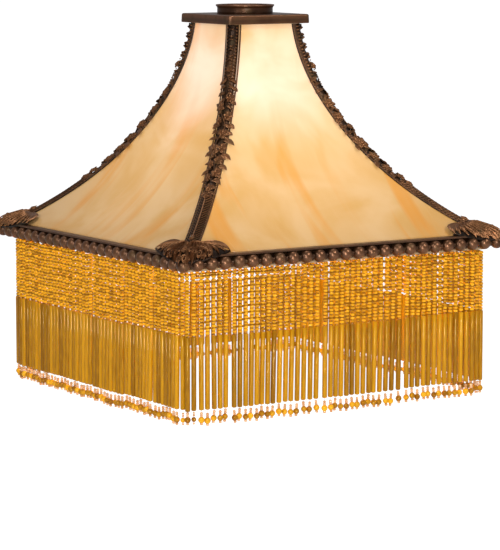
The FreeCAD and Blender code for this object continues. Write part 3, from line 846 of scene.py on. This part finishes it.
STRETCH = np.array([1.13, 1.0, 0.92])       # a little wider and flatter than drawn
rib_shapes = [(fold(flat * STRETCH), faces, tone)
              for flat, faces, tone in rib_ground() + laced_strip() + vine() + rungs() + screw_covers()]
for quarter, corner in enumerate(CORNERS):
    make_piece("filigree_rib_" + corner, turned_shapes(rib_shapes, quarter), CAST_BRONZE, "shade",
               ["rib_" + corner], sharp=60)

# %% [markdown]
# ## The corner castings
#
# Where a rib meets the border stands a casting like a bow: two humps of long
# curved feathers that spread from the rib's foot, with scrolls and rosettes
# in the middle. It could be sculpted by hand, but the feathers are the same
# leaf as on the ribs, only longer, so a table of rows draws them all.

# %% The casting's parts, drawn flat
CASTING_REACH = 47.5


def casting_walk():
    """Down the glass almost to its foot, then out over the rail's edge and down towards the balls."""
    walked, points = GLASS_WALK
    stay = walked < CURVE_LENGTH - 15
    last = points[stay][-1]
    out = np.array([last, last + [9.0, -5.2], [172.0, -198.6], [172.6, -207.5]])
    return walk(np.concatenate([points[stay], cubic(out, np.linspace(0, 1, 800))[1:]]))


CASTING_WALK = casting_walk()
EDGE = float(CASTING_WALK[0][-1])


def casting_foot(across):
    """How far down the casting reaches: over the corner ball in the middle, to the rail at its ends."""
    share = np.abs(np.asarray(across)) / CASTING_REACH
    return EDGE - 0.4 - 8.6 * share ** 3


def casting_ground():
    """A thin plate under the feathers, with the outline of two humps."""
    across = np.linspace(-CASTING_REACH, CASTING_REACH, 72)
    share = np.abs(across) / CASTING_REACH
    top = 231.5 + 1.5 * np.exp(-(share / 0.12) ** 2)
    top = top + (casting_foot(across) - top - 0.6) * share ** 2.4
    foot = casting_foot(across)
    path = np.stack([across, (top + foot) / 2], -1)[None]
    ones = np.ones((1, 72))
    section = np.array([(-1, 0), (-0.9, 1), (-0.5, 1.15), (0, 1.2), (0.5, 1.15), (0.9, 1), (1, 0),
                        (0.5, -0.3), (-0.5, -0.3)])
    flat, faces, tone = sweep(path, (foot - top)[None] / 2, 1.3 * ones, 0.4 * ones, section)
    return [(flat, faces, tone * 0.2)]


def feathers():
    """Long leaves from the rib's foot. Each bends up over its hump and comes down to the casting's foot."""
    ends = np.array([4.5, 9.0, 14.0, 19.5, 25.5, 31.5, 37.5, 43.0, 47.0])
    rows = []
    for k, end in enumerate(ends):
        rows.append((1.4 + 0.16 * end, 236.0 - 0.05 * end, 0.42 * end + 5 * (end > 8), 223.0 + 0.16 * end,
                     end, casting_foot(end) - 1.2, 2.3 + 0.012 * end, 1.7 + 0.16 * (9 - k), 2.1, 0.3))
    rows = mirrored(rows, [0, 2, 4])
    parts = [leaves(rows, 17)]
    between = rows.copy()
    between[:, [0, 2, 4]] *= 0.93
    between[:, 3] += 2.2
    between[:, 6] = 0.75
    between[:, 7] += 2.0
    between[:, 8] = 0.9
    parts.append(leaves(between, 15))
    lobes = mirrored([(9, 234, 29, 227.5, 47.6, EDGE - 8.6, 2.7, 2.6, 1.8, -0.4),
                      (5, 241, 18, 237, 31, EDGE - 5, 2.6, 3.0, 1.7, 0.0)], [0, 2, 4])
    parts.append(leaves(lobes, 17))
    return parts


SCREW_ALONG = float(np.interp(0.925, np.linspace(0, 1, 6001), GLASS_WALK[0]))


def casting_middle():
    """Rosettes and scrolls where the feathers meet, down over the corner ball."""
    parts = blossom(0, 244.0, 5.2, 4.0) + blossom(0, 235.5, 4.2, 3.4) + blossom(0, SCREW_ALONG, 3.4, 2.4)
    parts.append(studs([(0, SCREW_ALONG, 1.5, 2.6)], 7, 14))
    for hand in (-1, 1):
        parts += blossom(hand * 11.0, 248.0, 3.8, 3.4) + blossom(hand * 6.0, 253.0, 3.2, 2.6)
        parts += blossom(hand * 22.0, 251.5, 3.2, 2.8)
    rows = mirrored([(7.0, 245.0, 3.6, 200, 1.6, 1), (17.0, 250.5, 3.4, 200, 1.4, 1),
                     (28.0, 250.5, 2.8, 200, 1.3, 1), (2.8, 253.0, 3.0, 160, 1.5, 1)], [0, 5])
    rows[len(rows) // 2:, 3] = 180 - rows[:len(rows) // 2, 3]
    parts.append(wires(scrolls(rows), np.full(len(rows), 0.95), np.full(len(rows), 3.9)))
    tips = mirrored([(2.0, 245, 6.0, 251, 3.0, EDGE + 1.5, 2.2, 2.6, 1.6, 0.0),
                     (8.0, 246, 13.0, 251, 10.0, EDGE + 0.5, 1.9, 2.6, 1.5, 0.0)], [0, 2, 4])
    parts.append(leaves(tips))
    return parts


casting_shapes = [(fold(flat, CASTING_WALK), faces, tone)
                  for flat, faces, tone in casting_ground() + feathers() + casting_middle()]
for quarter, corner in enumerate(CORNERS):
    make_piece("corner_casting_" + corner, turned_shapes(casting_shapes, quarter), CAST_BRONZE, "shade",
               ["corner_ornament_" + corner], sharp=60)

# %% [markdown]
# ## The ball border
#
# The balls are cast in one row with the short necks between them, so one
# profile along the row, turned about the row's own line, makes them all. A
# plain strip behind holds the row to the rail.

# %% Balls and backing strip
BALL_LINE, BALL_HALF, BALL_RADIUS, BALLS = CAP_TOP - 209.0, 169.0, 6.15, 24
PITCH = 2 * BALL_HALF / BALLS


def ball_row():
    """A ball's outline is a half circle, joined to the next by a neck of 1.9 mm radius."""
    neck = math.asin(1.9 / BALL_RADIUS)
    turn_by = np.linspace(neck, math.pi - neck, 15)
    along = (np.arange(BALLS)[:, None] * PITCH - BALL_HALF) - BALL_RADIUS * np.cos(turn_by)
    radius = np.broadcast_to(BALL_RADIUS * np.sin(turn_by), along.shape)
    along, radius = along.ravel(), radius.ravel().copy()
    start = np.linspace(0.04, neck, 4)[:-1]
    along = np.concatenate([-BALL_HALF - BALL_RADIUS * np.cos(start), along, [BALL_HALF - BALL_RADIUS - 0.3]])
    radius = np.concatenate([BALL_RADIUS * np.sin(start), radius, [1.9]])
    angle = np.linspace(0, 2 * math.pi, 29)[:-1]
    points = np.stack([along[:, None] + 0 * angle, -BALL_HALF + radius[:, None] * np.cos(angle),
                       BALL_LINE + radius[:, None] * np.sin(angle)], -1)
    wear = np.repeat(0.35 + 0.5 * (radius / BALL_RADIUS) ** 4, 28)
    return points.reshape(1, -1, 3), tube_faces(len(along), 28), wear[None]


def bevelled_bar(low, high, inset, bevel=0.25):
    """A bar along a side with eased edges. Its ends follow the mitre at both corners."""
    (y0, z0), (y1, z1) = low, high
    section = np.array([(y0 + bevel, z0), (y1 - bevel, z0), (y1, z0 + bevel), (y1, z1 - bevel),
                        (y1 - bevel, z1), (y0 + bevel, z1), (y0, z1 - bevel), (y0, z0 + bevel)])
    share = np.linspace(-1, 1, 25)[:, None]
    x = share * (-section[:, 0] - inset)
    points = np.stack([x, section[:, 0] + 0 * share, section[:, 1] + 0 * share], -1)
    return points.reshape(1, -1, 3), tube_faces(25, 8), np.full((1, 200), 0.45)


border = [ball_row(), bevelled_bar((-164.0, BALL_LINE - 5.0), (-162.7, BALL_LINE + 5.5), 0.15)]
for quarter, side in enumerate(SIDES):
    make_piece("ball_row_" + side, turned_shapes(border, quarter), BRONZE, "shade", ["ball_border_" + side],
               sharp=50)

# %% [markdown]
# ## Rails and hidden metal
#
# The rails, the backing plate, the channels behind the joints, the gussets
# and the screws already have their right shapes in CAD. They only need
# better finishes, which are put in their material slots.

# %% Finishes for the CAD pieces that stay
def finish_node(name, material):
    """Puts one finish in all the material slots of a CAD piece."""
    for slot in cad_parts[name].material_slots:
        slot.material = material


RAIL_BRONZE = metal("rail bronze", (0.06, 0.028, 0.015), (0.20, 0.095, 0.05), (0.08, 0.06, 0.03),
                    0.34, 0.75, 0.2)
for side in SIDES:
    finish_node("rail_" + side, RAIL_BRONZE)
for corner in CORNERS:
    finish_node("inner_channel_" + corner, PLATED)
    finish_node("gusset_" + corner, PLATED)
finish_node("backing_plate", PLATED)
for name in ("cap_screws", "rib_screws", "ornament_screws", "border_screws", "gusset_screws"):
    finish_node(name, SCREW_STEEL)
print("finished", 4 + 8 + 1 + 5, "CAD pieces")

# %% [markdown]
# ## Heading tapes
#
# Each side's fringe is knotted to a flat cotton tape, stretched straight and
# gripped behind the ball border. It is a sheet of cloth 324.6 mm long and
# 12.2 mm wide, and it gets real thickness and a slight waviness.

# %% Four tapes
TAPE_TOP, TAPE_HALF = BALL_LINE + 5.2, 162.3


def heading_tape(side, quarter):
    """A flat loop section, wavy by a tenth of a millimetre, carried along the side."""
    long, wide = 90, 7
    x = np.linspace(-TAPE_HALF, TAPE_HALF, long)[:, None]
    z = np.linspace(BALL_LINE - 7.0, TAPE_TOP, wide)[None]
    wave = 0.10 * np.sin(x / 6.1 + quarter) * np.cos(z / 3.0)
    faces_out = np.stack(np.broadcast_arrays(x, -162.35 + wave, z), -1)
    faces_in = np.stack(np.broadcast_arrays(x, -161.35 + wave, z), -1)
    loop = np.concatenate([faces_out, faces_in[:, ::-1]], 1)
    shape = (turn(loop.reshape(1, -1, 3), quarter), tube_faces(long, 2 * wide))
    piece = make_piece("fringe_tape_" + side, [shape], TAPE, "shade", ["heading_tape_" + side])
    return piece


for quarter, side in enumerate(SIDES):
    heading_tape(side, quarter)

# %% [markdown]
# ## The bead fringe
#
# 49 strands hang from each tape. A strand is a column of 19 seed beads, then
# one long tube, then a drop of four beads. Small dark beads strung crosswise
# link neighbouring columns into a net, except where one made-up section of
# fringe ends and the next begins. Every strand could be a body of its own,
# but a curtain that swings as one is enough here. Beads are repeated
# thousands of times, so a seed bead is a ring of only 56 faces, and smooth
# shading does the rest. Each ring is painted a little deeper towards its ends
# and paler round its middle: painted shade where the beads of a column touch,
# and a painted highlight round their widest part. This keeps the beads of a
# column apart to the eye.

# %% Where the strands hang
STRANDS, SPACING, SEEDS = 49, 6.39, 19
NET_TOP, NET_LOW = BALL_LINE - 8.7, BALL_LINE - 64.2
STEP = (NET_TOP - NET_LOW) / SEEDS
TUBE_STEP = 66.4
ROW_LENGTH, TURN_START, TURN_RADIUS = 306.6, 146.85, 15.0
BREAKS = {"front": [5, 20, 34], "right": [10, 24, 39], "back": [7, 22, 36], "left": [23, 32, 40]}
BREAK_GAP = 1.0
random = np.random.default_rng(11)


def strand_places(side):
    """Distance along the side and out from the axis for each strand. The row is straight, and
    turns in at its ends on an arc. Hang and sway are how unevenly the strands hang."""
    x = (np.arange(STRANDS) - (STRANDS - 1) / 2) * SPACING
    x = x + np.interp(x, np.linspace(-160, 160, 12), random.uniform(-1.4, 1.4, 12))
    section = np.zeros(STRANDS, int)
    for k in BREAKS[side]:
        section[k + 1:] += 1
        x[:k + 1] -= BREAK_GAP
        x[k + 1:] += BREAK_GAP
    x = (x - (x[0] + x[-1]) / 2) * (ROW_LENGTH / (x[-1] - x[0]))
    past = np.maximum(np.abs(x) - TURN_START, 0)
    y = -(TURN_START + np.sqrt(TURN_RADIUS ** 2 - past ** 2))
    hang = random.uniform(-0.8, 0.8, section.max() + 1)[section]
    sway = np.cumsum(random.normal(0, 0.25, STRANDS))
    sway = np.clip(sway - np.linspace(sway[0], sway[-1], STRANDS), -1.6, 1.6)
    return x, y, section, hang, sway

# %% Bead shapes
def bead(profile, around):
    """A ring: the closed profile of (radius, height) turned about the upright axis."""
    points, faces = lathe(profile, around)
    return points[0], faces


SEED = bead([(0.4, 1.15), (1.0, 1.38), (1.75, 1.0), (2.1, 0.0), (1.75, -1.0), (1.0, -1.38),
             (0.4, -1.15)], 8)
# Painted shade and highlight on each seed bead: deeper at the ends where beads touch, paler round the middle.
SEED_PAINTED_SHADE = np.tile([0.4, 0.25, 0.0, -0.22, 0.0, 0.25, 0.4], 8)
LINK = bead([(0.3, 1.35), (0.8, 1.45), (1.15, 0.8), (1.15, -0.8), (0.8, -1.45), (0.3, -1.35)], 6)
TUBE = bead([(0.7, 32.9), (1.7, 33.05), (2.2, 32.6), (2.3, 32.0), (2.3, 11), (2.3, -11), (2.3, -31.7),
             (2.2, -32.3), (1.7, -32.75), (0.7, -32.6)], 12)
DROP = bead([(0.4, 2.5), (1.3, 2.6), (2.35, 1.6), (2.85, 0.0), (2.35, -1.6), (1.3, -2.6), (0.4, -2.5)], 12)
TINY = bead([(0.3, 0.9), (1.1, 1.0), (1.5, 0.0), (1.1, -1.0), (0.3, -0.9)], 8)
DROP_BEADS = [(TINY, 2, -1.1), (TINY, 2, -3.2), (DROP, 0, -6.9), (TINY, 2, -10.5)]


def strung(shape, places, lean=None, scale=1.0):
    """Copies of a bead at places (n, 3). Lean is how far x and y move per millimetre of height."""
    points, faces = shape
    body = points[None] * np.broadcast_to(scale, (len(places),))[:, None, None]
    if lean is not None:
        body = body + np.concatenate([lean[:, None] * body[..., 2:3], np.zeros((*body.shape[:2], 1))], -1)
    return places[:, None] + body, faces


def threads(top, low):
    """Thin cotton between two points for each strand: a four-sided thread 0.36 mm thick."""
    ring = np.array([(0.18, 0, 0), (0, 0.18, 0), (-0.18, 0, 0), (0, -0.18, 0)])
    points = np.concatenate([top[:, None] + ring, low[:, None] + ring], 1)
    return points, tube_faces(2, 4)

# %% One side of the fringe
def uneven(amount, *shape):
    """Small random offsets, in millimetres, spread like a bell curve."""
    return random.normal(0, amount, shape)


def below(points, x, y, z):
    """The points moved by x, y and z, each one number or one for every strand."""
    return points + np.stack(np.broadcast_arrays(x, y, z, np.zeros(len(points)))[:3], -1)


def fringe(side, quarter):
    """The net, then the tubes, then the drops, each hung from the foot of the one above."""
    x, y, section, hang, sway = strand_places(side)
    body = "fringe_" + side
    n = np.arange(STRANDS)
    k = np.arange(SEEDS)
    z = NET_TOP - (k + 0.5) * STEP
    grow = (k + 0.5) / SEEDS
    gx = x[:, None] + sway[:, None] * 0.3 * grow + uneven(0.10, STRANDS, SEEDS)
    gy = y[:, None] + uneven(0.08, STRANDS, SEEDS)
    raised = random.uniform(0.0, 0.4, (STRANDS, 1)) * STEP
    gz = z[None] + raised + hang[:, None] * grow + uneven(0.06, STRANDS, SEEDS)
    grid = np.stack([gx, gy, gz], -1)
    places = grid.reshape(-1, 3)
    seeds, seed_faces = strung(SEED, places, scale=random.uniform(0.94, 1.04, len(places)))
    # Each bead's own random tone, plus the painted shade at its ends and the painted highlight round its
    # middle.
    tone = 0.15 + 0.7 * random.beta(2.2, 3.0, len(places))[:, None] + SEED_PAINTED_SHADE
    rows = np.arange(1, SEEDS, 2)
    joined = n[:-1][section[:-1] == section[1:]]
    middle = ((grid[joined][:, rows] + grid[joined + 1][:, rows]) / 2).reshape(-1, 3) + [0, 0, STEP / 2]
    links = middle[:, None] + LINK[0][:, [2, 1, 0]]
    link_tone = random.uniform(0.8, 1.15, len(middle))[:, None]
    top = np.stack([x, y, np.full(STRANDS, NET_TOP + 1.0)], -1)
    foot = np.stack([x + 0.3 * sway, y, NET_LOW + 0.1 + hang], -1)
    line, line_faces = threads(top, foot)
    net = [(seeds, seed_faces, tone), (links, LINK[1], link_tone), (line, line_faces, 0.5, 1)]
    make_piece("seed_net_" + side, turned_shapes(net, quarter), BEADS, body, ["bead_net_" + side],
               mats=[THREAD])

    lean = np.stack([(sway * 0.9 + uneven(0.12, STRANDS)) / -66.0, uneven(0.004, STRANDS)], -1)
    middle = below(foot, -lean[:, 0] * TUBE_STEP / 2, -lean[:, 1] * TUBE_STEP / 2, -TUBE_STEP / 2)
    tubes, tube_f = strung(TUBE, middle, lean, random.uniform(0.985, 1.0, STRANDS))
    tube_tone = random.beta(2.0, 2.6, STRANDS)[:, None]
    end = below(foot, -lean[:, 0] * TUBE_STEP, -lean[:, 1] * TUBE_STEP, -TUBE_STEP)
    line, line_faces = threads(foot + [0, 0, 0.2], end)
    row = [(tubes, tube_f, tube_tone), (line, line_faces, 0.5, 1)]
    make_piece("tube_row_" + side, turned_shapes(row, quarter), TUBES, body, ["bead_tubes_" + side],
               mats=[THREAD])

    pull = np.where(n % 2 == 0, 1.0, -1.0) * (random.uniform(0, 1, STRANDS) < 0.5) * 0.9
    pull[:2] = pull[-2:] = 0
    slack = random.uniform(0, 2.2, STRANDS)
    slim = np.ones(STRANDS)
    slim[[0, -1]] = 0.82
    drops = []
    for shape, number, depth in DROP_BEADS:
        spot = below(end, pull * (-depth / 9.0), 0, depth - slack)
        points, faces = strung(shape, spot, scale=slim * random.uniform(0.94, 1.04, STRANDS))
        drops.append((points, faces, random.uniform(0.1, 0.9, STRANDS)[:, None], number))
    line, line_faces = threads(end + [0, 0, 0.2], below(end, pull, 0, -11.2 - slack))
    drops.append((line, line_faces, 0.5, 1))
    make_piece("drop_row_" + side, turned_shapes(drops, quarter), BEADS, body, ["bead_drops_" + side],
               mats=[THREAD, PINK])


for quarter, side in enumerate(SIDES):
    fringe(side, quarter)

# %% [markdown]
# ## A strand at each corner
#
# The fringe goes round the corner with the tape, so one more strand hangs
# just where two sides meet. It belongs to neither side, so it rides on the
# shade and hangs still. It is made for one corner and turned for the others,
# with new beads each time.

# %% Corner strands
CORNER_STRAND = 159.0


def corner_strands():
    """The same column, tube and drop as in a fringe, straight down from one point."""
    spot = np.array([[-CORNER_STRAND, -CORNER_STRAND, 0.0]])
    heights = NET_TOP - (np.arange(SEEDS) + 0.5) * STEP
    seeds, tubes = [], []
    for quarter in range(4):
        places = spot + np.stack([uneven(0.12, SEEDS), uneven(0.12, SEEDS), heights], -1)
        # Each bead's own random tone, plus the painted shade at its ends and the painted highlight round its
        # middle.
        tone = 0.15 + 0.7 * random.beta(2.2, 3.0, SEEDS)[:, None] + SEED_PAINTED_SHADE
        line, line_faces = threads(spot + [0, 0, NET_TOP + 1.0], spot + [0, 0, NET_LOW])
        tail, tail_faces = threads(spot + [0, 0, NET_LOW], spot + [0, 0, NET_LOW - 77.5])
        shapes = [(*strung(SEED, places), tone), (line, line_faces, 0.5, 1), (tail, tail_faces, 0.5, 1)]
        for shape, number, depth in DROP_BEADS:
            points, faces = strung(shape, spot + [0, 0, NET_LOW - TUBE_STEP + depth])
            shapes.append((points, faces, random.uniform(0.1, 0.9), number))
        seeds += turned_shapes(shapes, quarter)
        tube, tube_f = strung(TUBE, spot + [0, 0, NET_LOW - TUBE_STEP / 2])
        tubes += turned_shapes([(tube, tube_f, random.uniform(0.3, 0.7))], quarter)
    make_piece("corner_strands", seeds, BEADS, "shade", mats=[THREAD, PINK])
    make_piece("corner_tubes", tubes, TUBES, "shade")


corner_strands()

# %% [markdown]
# ## Floor, light and camera
#
# The shade hangs by its fitter, so the pale floor lies well below the
# fringe. Large soft lights above and beside it, in a white room, give the
# long quiet highlights of polished bronze. An upright tube mirrors only what
# is as far below it as the eye is above it, so a narrow light stands low
# down, to draw a line of light on every tube. A small warm light at the
# bulb's place lights the inside. The camera has a long lens and stands a
# little above the border, turned towards the front left corner.

# %% Floor and room
def studio_floor():
    """A wide pale floor. From underneath it is clear, so the shade can be looked at from below too."""
    mesh = bpy.data.meshes.new("studio_floor")
    r, z = 60.0, -0.62
    mesh.from_pydata([(-r, -r, z), (r, -r, z), (r, r, z), (-r, r, z)], [], [(0, 1, 2, 3)])
    floor = bpy.data.objects.new("studio_floor", mesh)
    bpy.context.scene.collection.objects.link(floor)
    material, tree, shader = start_material("pale floor")
    ray = tree.nodes.new("ShaderNodeLightPath")
    shader.inputs["Base Color"].default_value = (0.9, 0.9, 0.9, 1)
    shader.inputs["Roughness"].default_value = 0.8
    tree.links.new(mix(tree, ray.outputs["Is Camera Ray"], (0.0, 0.0, 0.0), (0.8, 0.8, 0.8)),
                   shader.inputs["Emission Color"])
    shader.inputs["Emission Strength"].default_value = 1.0
    face = tree.nodes.new("ShaderNodeNewGeometry")
    tree.links.new(maths(tree, "SUBTRACT", 1.0, face.outputs["Backfacing"]), shader.inputs["Alpha"])
    mesh.materials.append(material)


def white_room():
    """White where the camera looks, and softer grey for what the metal reflects."""
    world = bpy.data.worlds.new("white room")
    bpy.context.scene.world = world
    world.use_nodes = True
    tree = world.node_tree
    ray = tree.nodes.new("ShaderNodeLightPath")
    back = tree.nodes["Background"]
    colour = mix(tree, ray.outputs["Is Camera Ray"], (0.30, 0.30, 0.31), (1.0, 1.0, 1.0))
    tree.links.new(colour, back.inputs["Color"])
    back.inputs["Strength"].default_value = 1.0


def soft_light(name, place, aim, size, power):
    """A white rectangle that shines towards a point."""
    data = bpy.data.lights.new(name, "AREA")
    data.shape, data.size, data.size_y = "RECTANGLE", size[0], size[1]
    data.energy = power
    light = bpy.data.objects.new(name, data)
    bpy.context.scene.collection.objects.link(light)
    light.location = place
    light.rotation_euler = (Vector(aim) - Vector(place)).to_track_quat("-Z", "Y").to_euler()


studio_floor()
white_room()
soft_light("key light", (0.9, -1.9, 1.4), (0, 0, -0.15), (0.6, 0.5), 17)
soft_light("near light", (-1.3, -2.0, 0.35), (0, 0, -0.25), (0.28, 0.28), 12)
soft_light("low light", (-1.1, -2.15, -0.46), (0, 0, -0.3), (0.12, 0.30), 15)
soft_light("left light", (-2.0, -0.9, 0.7), (0, 0, -0.2), (0.6, 1.2), 12)
soft_light("top light", (0.0, 0.3, 1.9), (0, 0, -0.1), (1.2, 1.2), 12)
bulb = bpy.data.lights.new("bulb glow", "POINT")
bulb.energy, bulb.color, bulb.shadow_soft_size = 1.6, (1.0, 0.78, 0.5), 0.03
glow = bpy.data.objects.new("bulb glow", bulb)
glow.location = BULB
bpy.context.scene.collection.objects.link(glow)
print("lights:", [item.name for item in bpy.data.lights])

# %% Camera
def set_camera():
    """A long lens at the solved distance, looking at the middle of the shade."""
    azimuth, pitch, distance = math.radians(32.21), math.radians(7.31), 2.647
    target = Vector((0.0047 * math.cos(azimuth), -0.0047 * math.sin(azimuth), -0.2542))
    level = math.cos(pitch)
    back = Vector((-math.sin(azimuth) * level, -math.cos(azimuth) * level, math.sin(pitch)))
    data = bpy.data.cameras.new("camera")
    data.sensor_fit, data.sensor_height, data.lens = "VERTICAL", 36.0, 2795 / 550 * 36.0
    data.clip_end = 50.0
    camera = bpy.data.objects.new("camera", data)
    camera.location = target + distance * back
    camera.rotation_euler = (target - camera.location).to_track_quat("-Z", "Y").to_euler()
    bpy.context.scene.collection.objects.link(camera)
    bpy.context.scene.camera = camera


set_camera()
bpy.context.scene.view_settings.view_transform = "Standard"
